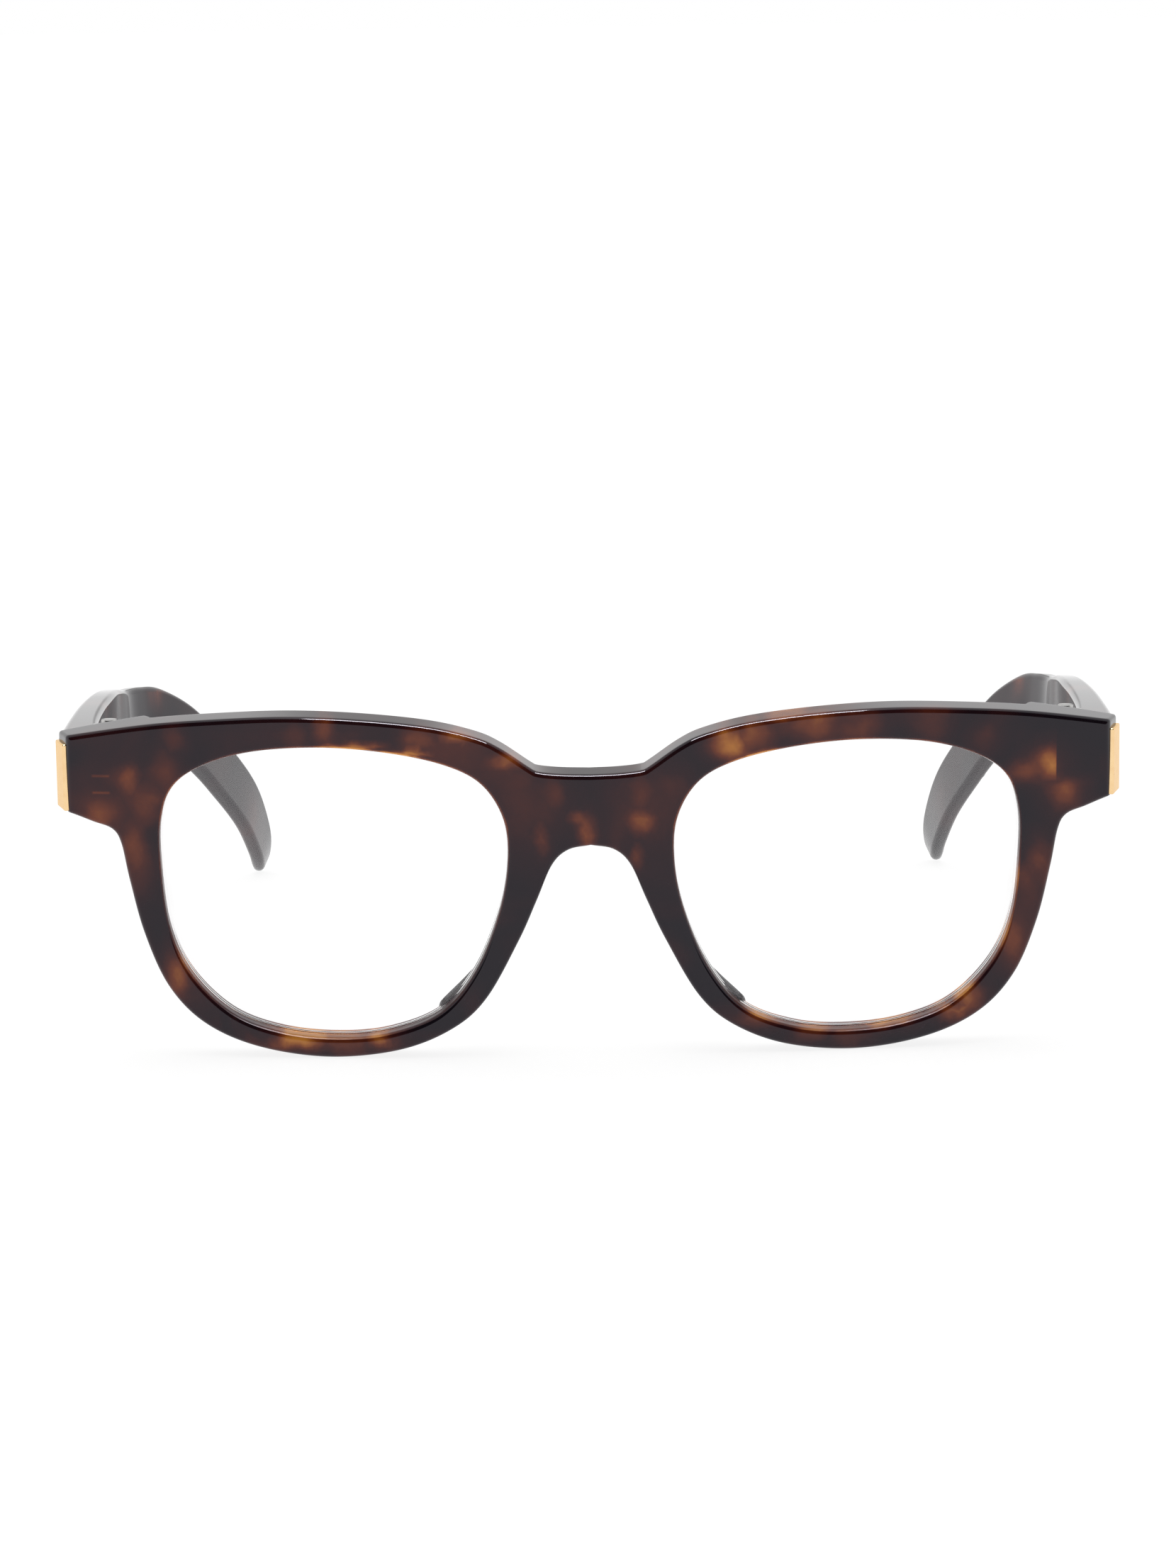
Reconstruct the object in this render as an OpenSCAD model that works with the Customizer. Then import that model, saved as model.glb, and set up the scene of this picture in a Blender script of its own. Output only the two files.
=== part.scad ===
// Acetate eyeglasses frame with barrel hinges, inlaid end-piece plaques and clear lenses.
// It rests on its rims and temple tips on the plane z = 0, with the temples open towards +Y.
// Left and right are the wearer's: left is +X.

/* [Front] */
// Thickness of the front, front face to back face
front_t = 5.5; // [4.5:0.1:6.5]
// Radius of the front's wrap, seen from above
wrap_r = 400; // [300:10:700]
// Forward lean of the front's top edge, degrees
front_lean = 3; // [0:0.5:5]
// Width of a lens opening
eye_w = 48.85; // [47.5:0.05:49.5]
// Height of a lens opening
eye_h = 42; // [40.5:0.1:42.5]
// Flare of the end piece's side faces, degrees
flare = 17.2; // [10:0.2:20]

/* [Lenses] */
// Thickness of a lens
lens_t = 1.8; // [1.2:0.1:2.4]
// Depth of the groove that holds a lens
groove_d = 0.7; // [0.4:0.05:0.9]
// Width of the groove
groove_w = 0.9; // [0.7:0.05:1.2]
// Gap between a lens and its rim
lens_gap = 0.06; // [0.03:0.01:0.15]

/* [Temples] */
// How far the left temple opens past its true line, degrees
left_splay = 0.8; // [-2:0.05:2]
// How far the right temple opens past its true line, degrees
right_splay = -0.8; // [-2:0.05:2]
// How much further in than the left one the right temple's tip is bent
right_tip_in = 2.5; // [0:0.1:3]
// Gap between a temple and the end piece it closes on
butt_gap = 0.1; // [0.05:0.05:0.3]
// Radius of the core wire
wire_r = 0.65; // [0.4:0.05:0.8]

/* [Hinges] */
// Radius of a hinge barrel
barrel_r = 1.45; // [1.3:0.05:1.6]
// Height of one of the five barrels
barrel_h = 1.7; // [1.4:0.05:1.8]
// Gap between neighbouring barrels
barrel_gap = 0.06; // [0.03:0.01:0.1]
// Radius of the hinge screw's shank
screw_r = 0.7; // [0.6:0.05:0.8]
// Radial clearance of the screw in the barrels
screw_fit = 0.03; // [0.02:0.01:0.06]
// Thickness of the hinge plates
plate_t = 0.9; // [0.7:0.1:1.1]

/* [Plaques] */
// Height of a plaque
plaque_h = 9.5; // [8:0.1:10]
// Length of a plaque along the side face
plaque_len = 4.85; // [4:0.05:4.9]
// Thickness of a plaque
plaque_t = 1; // [0.8:0.1:1.3]
// How far a plaque stands out of the side face
plaque_proud = 0.5; // [0.3:0.05:0.7]

/* [Hidden] */

havana = [0.20, 0.12, 0.09];
pale_gold = [0.93, 0.80, 0.62];
nickel = [0.72, 0.72, 0.74];
$fn = 48;
wrap_fn = 360;
ball_fn = 28;
eps = 0.01;
// Reach of cutting solids beyond what they cut.
overrun = 20;
far = 100;

// The row's origin is the middle of the bounding box's bottom face.
origin_y = -66.5;
origin_z = 0.05;

// Half of the brow line, from the middle of the bridge out to past the side face.
brow_line = [
    [0, 40.92], [4, 41.05], [7.2, 41.4], [8.4, 42.0], [12.5, 44.8], [16, 46.4], [22.5, 47.95],
    [32, 48.95], [42, 49.3], [52, 48.85], [62, 47.95], [73, 46.2], [77, 45.3]
];
// Half of the lower line, from past the side face in to the top of the nose arch.
lower_line = [
    [77, 36.1], [73, 34.9], [70, 33.8], [67.3, 32.8], [66.1, 30.7], [65.1, 25.5], [63.2, 17.6],
    [60, 10.0], [55, 4.7], [47.5, 1.4], [37.5, 0], [27.5, 1.05], [20, 4.1], [15, 8.6],
    [10.3, 17.0], [7.7, 22.8], [5.5, 27.9], [3.2, 30.1], [0, 30.75]
];
// Lens opening, counter-clockwise from its outer side.
eye_line = [
    [60.55, 28.5], [60.3, 34.5], [58.6, 39.0], [54.6, 42.0], [47.5, 44.2], [38, 44.9],
    [28.6, 44.2], [20.4, 42.4], [15.2, 39.6], [12.2, 34.6], [11.7, 28.5], [13.0, 21.2],
    [16.4, 12.8], [21.4, 6.7], [28.5, 3.7], [36, 2.9], [44, 3.65], [51, 6.3], [56.7, 12],
    [59.6, 19.0]
];
eye_mid = [36.13, 23.9];
eye_w_drawn = 48.85;
eye_h_drawn = 42;

// Temple stations, front to tip: y, z of the middle, x of the outer face, height, thickness,
// and the section's lean in degrees.
temple_line = [
    [5, 40.35, 74.9, 10.9, 5.8, 0], [26, 39.95, 75.9, 9.9, 4.6, 0], [46, 39.05, 76.7, 9.5, 4.15, 0],
    [65, 37.65, 77.1, 9.5, 3.8, 0], [80, 36, 77.4, 9.1, 3.5, 1], [90, 34.6, 76.9, 8.5, 3.3, 2],
    [97, 33.7, 75.3, 9, 3.2, 2], [103, 32.2, 73.1, 9.5, 3.1, 2], [111, 27.7, 69.3, 10, 2.9, 0],
    [118, 20.9, 65.2, 10.1, 2.7, -3.5], [125, 13.9, 62, 9.4, 2.6, -7],
    [131.6, 6.9, 60.4, 7.4, 2.5, -11], [135.2, 3.05, 60.2, 5, 2.3, -16],
    [137, 1.1, 60.3, 2.6, 1.6, -20]
];
outline_steps = 5;
eye_steps = 4;
temple_steps = 3;
corner_r = 1.0;
// Where the right temple's own bend starts and ends, measured back from the front.
own_bend = [88, 128];

hinge_x = 68;
hinge_y = 9.5;
hinge_bottom = 37.9;
joint_y = 7.2;
barrel_pitch = barrel_h + barrel_gap;
hinge_top = hinge_bottom + 4 * barrel_pitch + barrel_h;
screw_head_r = 1.1;
screw_head_h = 0.7;
screw_tail = 0.3;
slot_w = 0.3;
front_plate_w = 6.4;
temple_plate_start = 4.1;
temple_plate_len = 8;
hinge_room_x = 1.8;
temple_plate_skew = -6.1;
temple_plate_h = 3 * barrel_pitch + 0.25;
plate_proud = 0.1;
inner_face_x = 69.35;
arm_reach = 1.5;
lug_y = [6, 10];
lug_z = 41;
lug_size = [1.7, 0.8, 1.6];
hinge_room_y = 4.3;
hinge_room_below = 0.4;
tine_l = 2.6;
tine_t = 0.6;
tine_w = 2.5;
tine_z = [38.4, 40.8, 44.4];

// Thick seat behind an end piece, and the flat cuts that finish it.
pad_start = [62.4, 5, 30];
pad_size = [15, 8, 20];
back_cut_x = 61;
cut_bottom = 20;

// Nose pad: the balls that its drop shape wraps, as x, y, z and radius.
pad_balls = [[20.3, 3.4, 6.2, 1.5], [15, 4.4, 11, 1.8], [12.2, 3.6, 16.6, 1.5]];

// Core wire: first temple ring it reaches, and how many it stops short of the tip.
wire_first = 3;
wire_short = 6;

// Where the flared side face starts, and the plaque's place on it.
side_start = [73.25, 1.5];
plaque_start = 0.95;
plaque_bottom = 35.5;
plaque_pin_r = 0.5;
plaque_pin_l = 2.4;
plaque_pin_z = [37.9, 42.6];
plaque_chamfer = 0.3;
recess_gap = 0.02;

// ---- curves ----

// Catmull-Rom blend of four points at u.
function blend(a, b, c, d, u) =
    0.5 * (2 * b + (c - a) * u + (2 * a - 5 * b + 4 * c - d) * u * u
    + (3 * b - a - 3 * c + d) * u * u * u);

// Smooth line through p, with its ends.
function smooth(p, steps) = let (last = len(p) - 1) concat(
    [for (i = [0 : last - 1], k = [0 : steps - 1]) blend(
        i > 0 ? p[i - 1] : 2 * p[0] - p[1], p[i], p[i + 1],
        i < last - 1 ? p[i + 2] : 2 * p[last] - p[last - 1], k / steps)],
    [p[last]]);

// Smooth closed line through p.
function smooth_loop(p, steps) = let (n = len(p))
    [for (i = [0 : n - 1], k = [0 : steps - 1]) blend(
        p[(i + n - 1) % n], p[i], p[(i + 1) % n], p[(i + 2) % n], k / steps)];

function flipped(p) = [for (i = [len(p) - 1 : -1 : 0]) [-p[i][0], p[i][1]]];
function without_ends(p) = [for (i = [1 : len(p) - 2]) p[i]];

half_outline = smooth(lower_line, outline_steps);
half_brow = smooth(brow_line, outline_steps);
front_outline = concat(half_outline, without_ends(flipped(half_outline)),
    flipped(half_brow), without_ends(half_brow));

// Lens opening grown outwards by g all round.
function eye_outline(g) = [
    for (p = smooth_loop(eye_line, eye_steps)) [
        eye_mid[0] + (p[0] - eye_mid[0]) * (eye_w + 2 * g) / eye_w_drawn,
        eye_mid[1] + (p[1] - eye_mid[1]) * (eye_h + 2 * g) / eye_h_drawn
    ]
];

// ---- placing ----

module right_half() {
    mirror([1, 0, 0]) children();
}

// Moves the drawing frame to the row's frame.
module place() {
    translate([0, origin_y, origin_z]) children();
}

// Leans what belongs to the front.
module lean() {
    rotate([front_lean, 0, 0]) children();
}

// Turns what belongs to a temple about its hinge.
module splay(angle) {
    translate([hinge_x, hinge_y, 0])
        rotate([0, 0, -angle])
            translate([-hinge_x, -hinge_y, 0]) children();
}

// Upright slab between offsets a and b from the front's wrapped middle surface.
module wrapped(a, b) {
    translate([0, wrap_r, -overrun])
        difference() {
            cylinder(r = wrap_r - a, h = far, $fn = wrap_fn);
            translate([0, 0, -1]) cylinder(r = wrap_r - b, h = far + 2, $fn = wrap_fn);
        }
}

// An outline in the XZ plane, made solid along Y.
module along_y(points) {
    rotate([90, 0, 0])
        translate([0, 0, -overrun])
            linear_extrude(height = 2 * overrun) polygon(points);
}

// Frame whose X runs along the flared side face, Y points out of it and Z is up.
module on_side_face() {
    translate([side_start[0], side_start[1], 0])
        rotate([0, 0, 90 - flare]) mirror([0, 1, 0]) children();
}

// ---- front ----

module rim_solid() {
    lean() intersection() {
        along_y(front_outline);
        wrapped(-front_t / 2, front_t / 2);
    }
}

// Thicker back of an end piece, which gives the hinge and the temple a flat seat.
module end_pad() {
    lean() intersection() {
        along_y(front_outline);
        translate(pad_start) cube(pad_size);
    }
}

module side_cut() {
    on_side_face() translate([-overrun, 0, cut_bottom]) cube([far, far, far]);
}

module back_cut() {
    translate([back_cut_x, joint_y, cut_bottom]) cube([far, far, far]);
}

module front_cuts() {
    side_cut();
    back_cut();
    plaque_recess();
    front_plate();
}

module plaque_recess() {
    on_side_face()
        translate([plaque_start - recess_gap, plaque_proud - plaque_t, plaque_bottom - recess_gap])
            cube([overrun, overrun, plaque_h + 2 * recess_gap]);
    plaque_pins();
}

module eye_cuts() {
    lean() {
        along_y(eye_outline(0));
        intersection() {
            along_y(eye_outline(groove_d));
            wrapped(-groove_w / 2, groove_w / 2);
        }
    }
}

module front_chassis() {
    color(havana) place() difference() {
        union() {
            rim_solid();
            end_pad();
            right_half() end_pad();
        }
        front_cuts();
        right_half() front_cuts();
        eye_cuts();
        right_half() eye_cuts();
    }
}

module lens() {
    color([0.9, 0.95, 0.95, 0.35]) lean() union() {
        intersection() {
            along_y(eye_outline(-lens_gap));
            wrapped(-lens_t / 2, lens_t / 2);
        }
        intersection() {
            along_y(eye_outline(groove_d - lens_gap));
            wrapped(-groove_w / 2 + lens_gap, groove_w / 2 - lens_gap);
        }
    }
}

// Drop-shaped pad cemented on the back of the rim beside the nose.
module nose_pad() {
    color(havana) lean() difference() {
        hull() for (b = pad_balls) translate([b[0], b[1], b[2]]) sphere(r = b[3], $fn = ball_fn);
        wrapped(-2 * front_t, front_t / 2);
    }
}

// ---- plaques ----

module plaque_pins() {
    for (z = plaque_pin_z)
        on_side_face()
            translate([plaque_start + plaque_len / 2, plaque_proud - plaque_t + eps, z])
                rotate([90, 0, 0]) cylinder(r = plaque_pin_r, h = plaque_pin_l);
}

module plaque() {
    front = plaque_start;
    back = plaque_start + plaque_len;
    inner = plaque_proud - plaque_t;
    color(pale_gold) union() {
        on_side_face() translate([0, 0, plaque_bottom])
            linear_extrude(height = plaque_h) polygon([
                [front, inner], [back, inner], [back, plaque_proud],
                [front + plaque_chamfer, plaque_proud], [front, plaque_proud - plaque_chamfer]
            ]);
        plaque_pins();
    }
}

// ---- hinges ----

function barrel_z(i) = hinge_bottom + i * barrel_pitch;

module barrel(i) {
    translate([hinge_x, hinge_y, barrel_z(i)]) cylinder(r = barrel_r, h = barrel_h);
}

module screw_bore() {
    translate([hinge_x, hinge_y, hinge_bottom - 1])
        cylinder(r = screw_r + screw_fit, h = hinge_top - hinge_bottom + 2);
}

// Plate let into the back of the end piece.
module front_plate() {
    translate([hinge_x + barrel_r - front_plate_w, joint_y - plate_t, hinge_bottom])
        cube([front_plate_w, plate_t, hinge_top - hinge_bottom]);
}

module hinge_front_leaf() {
    color(nickel) difference() {
        union() {
            front_plate();
            for (i = [0, 2, 4]) {
                barrel(i);
                translate([hinge_x - barrel_r, joint_y - plate_t / 2, barrel_z(i)])
                    cube([2 * barrel_r, hinge_y - joint_y + plate_t / 2, barrel_h]);
            }
            for (z = tine_z)
                translate([hinge_x - tine_w / 2, joint_y - plate_t - tine_l + eps, z])
                    cube([tine_w, tine_l, tine_t]);
        }
        screw_bore();
    }
}

// Frame of the plate on a temple's inner face.
module on_inner_face() {
    translate([inner_face_x, joint_y, 0]) rotate([0, 0, temple_plate_skew]) children();
}

module temple_plate() {
    on_inner_face()
        translate([-plate_proud, temple_plate_start, barrel_z(1)])
            cube([plate_t, temple_plate_len, temple_plate_h]);
}

module hinge_temple_leaf() {
    color(nickel) difference() {
        union() {
            temple_plate();
            for (i = [1, 3]) {
                barrel(i);
                translate([hinge_x, hinge_y - barrel_r, barrel_z(i)])
                    cube([hinge_room_x, 2 * barrel_r + arm_reach, barrel_h]);
            }
            for (y = lug_y)
                on_inner_face() translate([plate_t - plate_proud - eps, y, lug_z]) cube(lug_size);
        }
        screw_bore();
    }
}

module hinge_screw() {
    color(nickel) difference() {
        union() {
            translate([hinge_x, hinge_y, hinge_bottom - screw_tail])
                cylinder(r = screw_r, h = hinge_top - hinge_bottom + screw_tail + eps);
            translate([hinge_x, hinge_y, hinge_top]) cylinder(r = screw_head_r, h = screw_head_h);
        }
        translate([hinge_x - screw_head_r - 1, hinge_y - slot_w / 2, hinge_top + screw_head_h / 2])
            cube([2 * screw_head_r + 2, slot_w, screw_head_h]);
    }
}

// ---- temples ----

function unit(v) = v / norm(v);

// Stations of every ring of a temple whose tip is bent in by a further distance.
function stations(tip_in) = [
    for (s = smooth(temple_line, temple_steps))
        let (share = min(max((s[0] - own_bend[0]) / (own_bend[1] - own_bend[0]), 0), 1))
            [s[0], s[1], s[2] - tip_in * share * share * (3 - 2 * share), s[3], s[4], s[5]]
];

// Outer-face point of station s.
function outer_point(s) = [s[2], s[0], s[1]];

// Direction of travel at ring i of line t.
function travel(t, i) = let (last = len(t) - 1)
    unit(outer_point(t[min(i + 1, last)]) - outer_point(t[max(i - 1, 0)]));

// Section axes at ring i: [outwards, upwards], turned by the station's lean.
function section_axes(t, i) = let (
    d = travel(t, i),
    up = unit([0, -d[2], d[1]]),
    out = unit(cross(d, up)),
    a = t[i][5]
) [out * cos(a) - up * sin(a), up * cos(a) + out * sin(a)];

// Middle of the section at ring i.
function section_mid(t, i) = let (s = t[i], axes = section_axes(t, i))
    outer_point(s) - axes[0] * s[4] / 2;

// Rounded rectangle w by h, as points around its middle.
function rounded_box(w, h) = let (r = min(corner_r, w / 2.2, h / 2.2)) [
    for (q = [[1, 1, 0], [-1, 1, 90], [-1, -1, 180], [1, -1, 270]], k = [0, 30, 60, 90])
        [q[0] * (w / 2 - r) + r * cos(q[2] + k), q[1] * (h / 2 - r) + r * sin(q[2] + k)]
];

function temple_ring(t, i) = let (s = t[i], axes = section_axes(t, i))
    [for (p = rounded_box(s[4], s[3])) section_mid(t, i) + axes[0] * p[0] + axes[1] * p[1]];

function wire_ring(t, i) = let (axes = section_axes(t, i))
    [for (k = [0 : 7])
        section_mid(t, i) + wire_r * (axes[0] * cos(45 * k) + axes[1] * sin(45 * k))];

// Closed skin over rings that all have the same number of points.
module skin(rings) {
    n = len(rings[0]);
    last = len(rings) - 1;
    points = [for (r = rings, p = r) p];
    sides = [for (i = [0 : last - 1], k = [0 : n - 1])
        let (a = i * n + k, b = i * n + (k + 1) % n) [a, b, b + n, a + n]];
    ends = [[for (k = [n - 1 : -1 : 0]) k], [for (k = [0 : n - 1]) last * n + k]];
    polyhedron(points = points, faces = concat(sides, ends), convexity = 6);
}

// Room at a temple's inner front corner for the barrels and the hinge plate.
module hinge_room() {
    translate([hinge_x - overrun, joint_y - overrun, hinge_bottom - hinge_room_below])
        cube([overrun + hinge_room_x, overrun + hinge_room_y, overrun]);
    temple_plate();
}

module temple(angle, tip_in) {
    line = stations(tip_in);
    color(havana) difference() {
        splay(angle) difference() {
            skin([for (i = [0 : len(line) - 1]) temple_ring(line, i)]);
            hinge_room();
        }
        translate([0, joint_y + butt_gap - far, cut_bottom]) cube([far, far, far]);
    }
}

module core_wire(tip_in) {
    line = stations(tip_in);
    color(nickel) skin([for (i = [wire_first : len(line) - wire_short]) wire_ring(line, i)]);
}

// ---- named sub-parts ----

module lens_left() {
    place() lens();
}

module lens_right() {
    place() right_half() lens();
}

module nose_pad_left() {
    place() nose_pad();
}

module nose_pad_right() {
    place() right_half() nose_pad();
}

module plaque_left() {
    place() plaque();
}

module plaque_right() {
    place() right_half() plaque();
}

module hinge_front_leaf_left() {
    place() hinge_front_leaf();
}

module hinge_front_leaf_right() {
    place() right_half() hinge_front_leaf();
}

module hinge_temple_leaf_left() {
    place() splay(left_splay) hinge_temple_leaf();
}

module hinge_temple_leaf_right() {
    place() right_half() splay(right_splay) hinge_temple_leaf();
}

module hinge_screw_left() {
    place() hinge_screw();
}

module hinge_screw_right() {
    place() right_half() hinge_screw();
}

module temple_left() {
    place() temple(left_splay, 0);
}

module temple_right() {
    place() right_half() temple(right_splay, right_tip_in);
}

module core_wire_left() {
    place() splay(left_splay) core_wire(0);
}

module core_wire_right() {
    place() right_half() splay(right_splay) core_wire(right_tip_in);
}

front_chassis();
lens_left();
lens_right();
nose_pad_left();
nose_pad_right();
plaque_left();
plaque_right();
hinge_front_leaf_left();
hinge_front_leaf_right();
hinge_temple_leaf_left();
hinge_temple_leaf_right();
hinge_screw_left();
hinge_screw_right();
temple_left();
temple_right();
core_wire_left();
core_wire_right();
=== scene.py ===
"""Looks of the eyeglasses frame: smooth acetate, lenses, hinges and plaques, in a white studio.

Shapes are drawn in millimetres, in the CAD's drawing frame: x to the wearer's left, y back
from the middle of the bridge, z up. in_row() turns them into metres in the row's frame.
"""

import math

import bmesh
import bpy
import numpy as np
from mathutils import Matrix, Vector, noise
from mathutils.geometry import delaunay_2d_cdt


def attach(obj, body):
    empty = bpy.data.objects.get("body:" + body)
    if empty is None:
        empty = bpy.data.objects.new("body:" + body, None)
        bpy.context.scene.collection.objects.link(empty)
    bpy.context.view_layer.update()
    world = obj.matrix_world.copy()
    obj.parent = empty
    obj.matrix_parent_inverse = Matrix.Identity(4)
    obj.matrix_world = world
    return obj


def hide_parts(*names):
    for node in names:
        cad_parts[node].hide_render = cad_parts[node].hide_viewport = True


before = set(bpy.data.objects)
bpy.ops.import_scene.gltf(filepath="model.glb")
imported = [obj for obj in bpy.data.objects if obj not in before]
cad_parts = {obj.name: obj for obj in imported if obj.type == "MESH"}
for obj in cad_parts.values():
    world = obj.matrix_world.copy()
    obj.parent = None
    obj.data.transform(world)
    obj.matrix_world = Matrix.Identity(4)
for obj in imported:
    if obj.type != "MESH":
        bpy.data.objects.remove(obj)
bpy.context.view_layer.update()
# A fixed seed, so that the patches come out the same on every run.
noise.seed_set(3)

# ---- sizes, in millimetres, as in the CAD ----

MM = 0.001
ORIGIN_Y = -66.5
ORIGIN_Z = 0.05

FRONT_T = 5.5
WRAP_R = 400
LEAN = math.radians(3)
FLARE = math.radians(17.2)
SIDE_START = (73.25, 1.5)
JOINT_Y = 7.2
BUTT_GAP = 0.1
SPLAY = {"left": math.radians(0.8), "right": math.radians(-0.8)}
TIP_IN = {"left": 0, "right": 2.5}
OWN_BEND = (88, 128)

HINGE_X = 68
HINGE_Y = 9.5
HINGE_BOTTOM = 37.9
BARREL_R = 1.45
BARREL_H = 1.7
BARREL_PITCH = 1.76
SCREW_R = 0.7
SCREW_HEAD_R = 1.1
SCREW_HEAD_H = 0.7
SLOT_W = 0.3
PLATE_T = 0.9
FRONT_PLATE_W = 6.4
INNER_FACE_X = 69.35
INNER_FACE_TURN = math.radians(-6.1)
TEMPLE_PLATE_START = 4.1
TEMPLE_PLATE_LEN = 8
PLATE_PROUD = 0.1

PLAQUE_START = 0.95
PLAQUE_LEN = 4.85
PLAQUE_BOTTOM = 35.5
PLAQUE_H = 9.5
PLAQUE_T = 1
PLAQUE_PROUD = 0.5

LENS_T = 1.8
LENS_GAP = 0.06
GROOVE_D = 0.7
GROOVE_W = 0.9

BROW_LINE = [
    (0, 40.92), (4, 41.05), (7.2, 41.4), (8.4, 42.0), (12.5, 44.8), (16, 46.4), (22.5, 47.95),
    (32, 48.95), (42, 49.3), (52, 48.85), (62, 47.95), (73, 46.2), (77, 45.3),
]
LOWER_LINE = [
    (77, 36.1), (73, 34.9), (70, 33.8), (67.3, 32.8), (66.1, 30.7), (65.1, 25.5), (63.2, 17.6),
    (60, 10.0), (55, 4.7), (47.5, 1.4), (37.5, 0), (27.5, 1.05), (20, 4.1), (15, 8.6),
    (10.3, 17.0), (7.7, 22.8), (5.5, 27.9), (3.2, 30.1), (0, 30.75),
]
EYE_LINE = [
    (60.55, 28.5), (60.3, 34.5), (58.6, 39.0), (54.6, 42.0), (47.5, 44.2), (38, 44.9),
    (28.6, 44.2), (20.4, 42.4), (15.2, 39.6), (12.2, 34.6), (11.7, 28.5), (13.0, 21.2),
    (16.4, 12.8), (21.4, 6.7), (28.5, 3.7), (36, 2.9), (44, 3.65), (51, 6.3), (56.7, 12),
    (59.6, 19.0),
]
# Temple stations: y, middle z, outer x, height, thickness, lean in degrees.
TEMPLE_LINE = [
    (5, 40.35, 74.9, 10.9, 5.8, 0), (26, 39.95, 75.9, 9.9, 4.6, 0), (46, 39.05, 76.7, 9.5, 4.15, 0),
    (65, 37.65, 77.1, 9.5, 3.8, 0), (80, 36, 77.4, 9.1, 3.5, 1), (90, 34.6, 76.9, 8.5, 3.3, 2),
    (97, 33.7, 75.3, 9, 3.2, 2), (103, 32.2, 73.1, 9.5, 3.1, 2), (111, 27.7, 69.3, 10, 2.9, 0),
    (118, 20.9, 65.2, 10.1, 2.7, -3.5), (125, 13.9, 62, 9.4, 2.6, -7),
    (131.6, 6.9, 60.4, 7.4, 2.5, -11), (135.2, 3.05, 60.2, 5, 2.3, -16),
    (137, 1.1, 60.3, 2.6, 1.6, -20),
]
# How far the temple's end is rounded.
TIP_ROUND = 0.7
# Balls that a nose pad runs through: x, y, z, radius.
PAD_BALLS = [(20.3, 3.4, 6.2, 1.5), (15, 4.4, 11, 1.8), (12.2, 3.6, 16.6, 1.5)]

# Edge roundings of the front, and the narrow band beside them that keeps its faces flat.
FRONT_EDGE = 0.8
BACK_EDGE = 0.6
SUPPORT = 0.12
# The side face's share of an edge rounding, and the length trimmed off its corners.
SIDE_EDGE_SHARE = 0.75
CORNER = 0.5
# Where the flat seats behind the end pieces begin, and how far they take to rise.
SEAT_X = 61.6
SEAT_Z = 28.5
SEAT_EASE = (1.2, 3.0)

# Lighter patches of the front's sheet, mostly its tortoise pattern: x, z, half width, half height,
# strength.
FRONT_PATCHES = [
    (-64.6, 40.3, 1.5, 1.9, 0.5), (-68.7, 35.2, 2.2, 1.7, 0.45), (-58, 46.3, 1.7, 2.2, 0.36),
    (-59.5, 41.5, 2.0, 3.0, 0.36), (-62, 37, 2.2, 2.6, 0.38), (-64, 30, 1.5, 3.2, 0.4),
    # (-33, 45) ending this row and (-26, 44) below: painted glow along the left opening's top, as
    # if lit from behind.
    (-37, 47.4, 1.3, 2.2, 0.55), (-41, 46.3, 2.0, 2.0, 0.36), (-33, 45, 4.0, 0.5, 0.8),
    (-26, 44, 3.4, 0.5, 0.75), (-24, 46.3, 3.0, 1.4, 0.38), (-18.5, 46.2, 2.6, 0.9, 0.55),
    (-11.5, 43, 2.4, 1.1, 0.5), (-58.6, 11.8, 1.5, 2.4, 0.5), (-41.8, 2.3, 3.5, 1.3, 0.95),
    (-36, 2.2, 3.2, 1.5, 0.45), (-29.7, 2.4, 1.8, 1.0, 0.62), (-6.7, 32, 1.1, 2.6, 0.46),
    (-5.2, 38.2, 1.5, 2.4, 0.42), (-1.6, 34.4, 1.5, 1.0, 0.6), (-0.6, 32.7, 1.3, 2.2, 0.66),
    (7.2, 34.0, 2.0, 1.6, 0.66), (7, 37.5, 1.5, 3.0, 0.44), (6.5, 29.6, 0.9, 1.8, 0.46),
    (19.3, 44.8, 2.2, 2.0, 0.95),
    (22.6, 46.2, 2.6, 1.8, 0.5), (23.5, 43.4, 2.4, 0.9, 0.6), (31.5, 47.2, 3.4, 2.0, 0.52),
    (37.5, 46.9, 3.0, 2.0, 0.36), (8, 36, 5.5, 6, 0.29), (-8, 36.5, 5, 5, 0.3),
    (-40, 46.5, 11, 2.2, 0.22), (-20, 45, 8, 2.5, 0.24),
    (48, 46.6, 2.6, 2.2, 0.34), (55.4, 44.6, 2.2, 2.4, 0.3), (64.9, 40.8, 2.0, 2.0, 0.72),
    (61.8, 39.8, 2.2, 1.2, 0.4), (66.7, 36, 2.2, 1.9, 0.5), (63.3, 26.5, 1.6, 2.6, 0.5),
    (61.4, 24, 1.6, 2.4, 0.45),
    (59.6, 15.2, 1.7, 2.8, 0.4), (53.4, 6.6, 1.9, 1.8, 0.7), (51, 4.8, 2.0, 1.2, 0.75),
    (31.4, 2.8, 2.4, 1.6, 0.42), (23.5, 5.4, 3.2, 1.4, 0.45), (36, 1.8, 2.6, 1.2, 0.36),
    (27.5, 49.2, 3.4, 1.2, 0.6), (41, 4.1, 4.0, 1.1, 0.55),
]
# How much wider than listed a patch fades out, and the painted backlight of the openings' walls:
# its base and gain.
PATCH_GROW = 1.25
PATCH_REACH = 2.4
WALL_PAINTED_BACKLIGHT = (0.22, 1.5)
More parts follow.
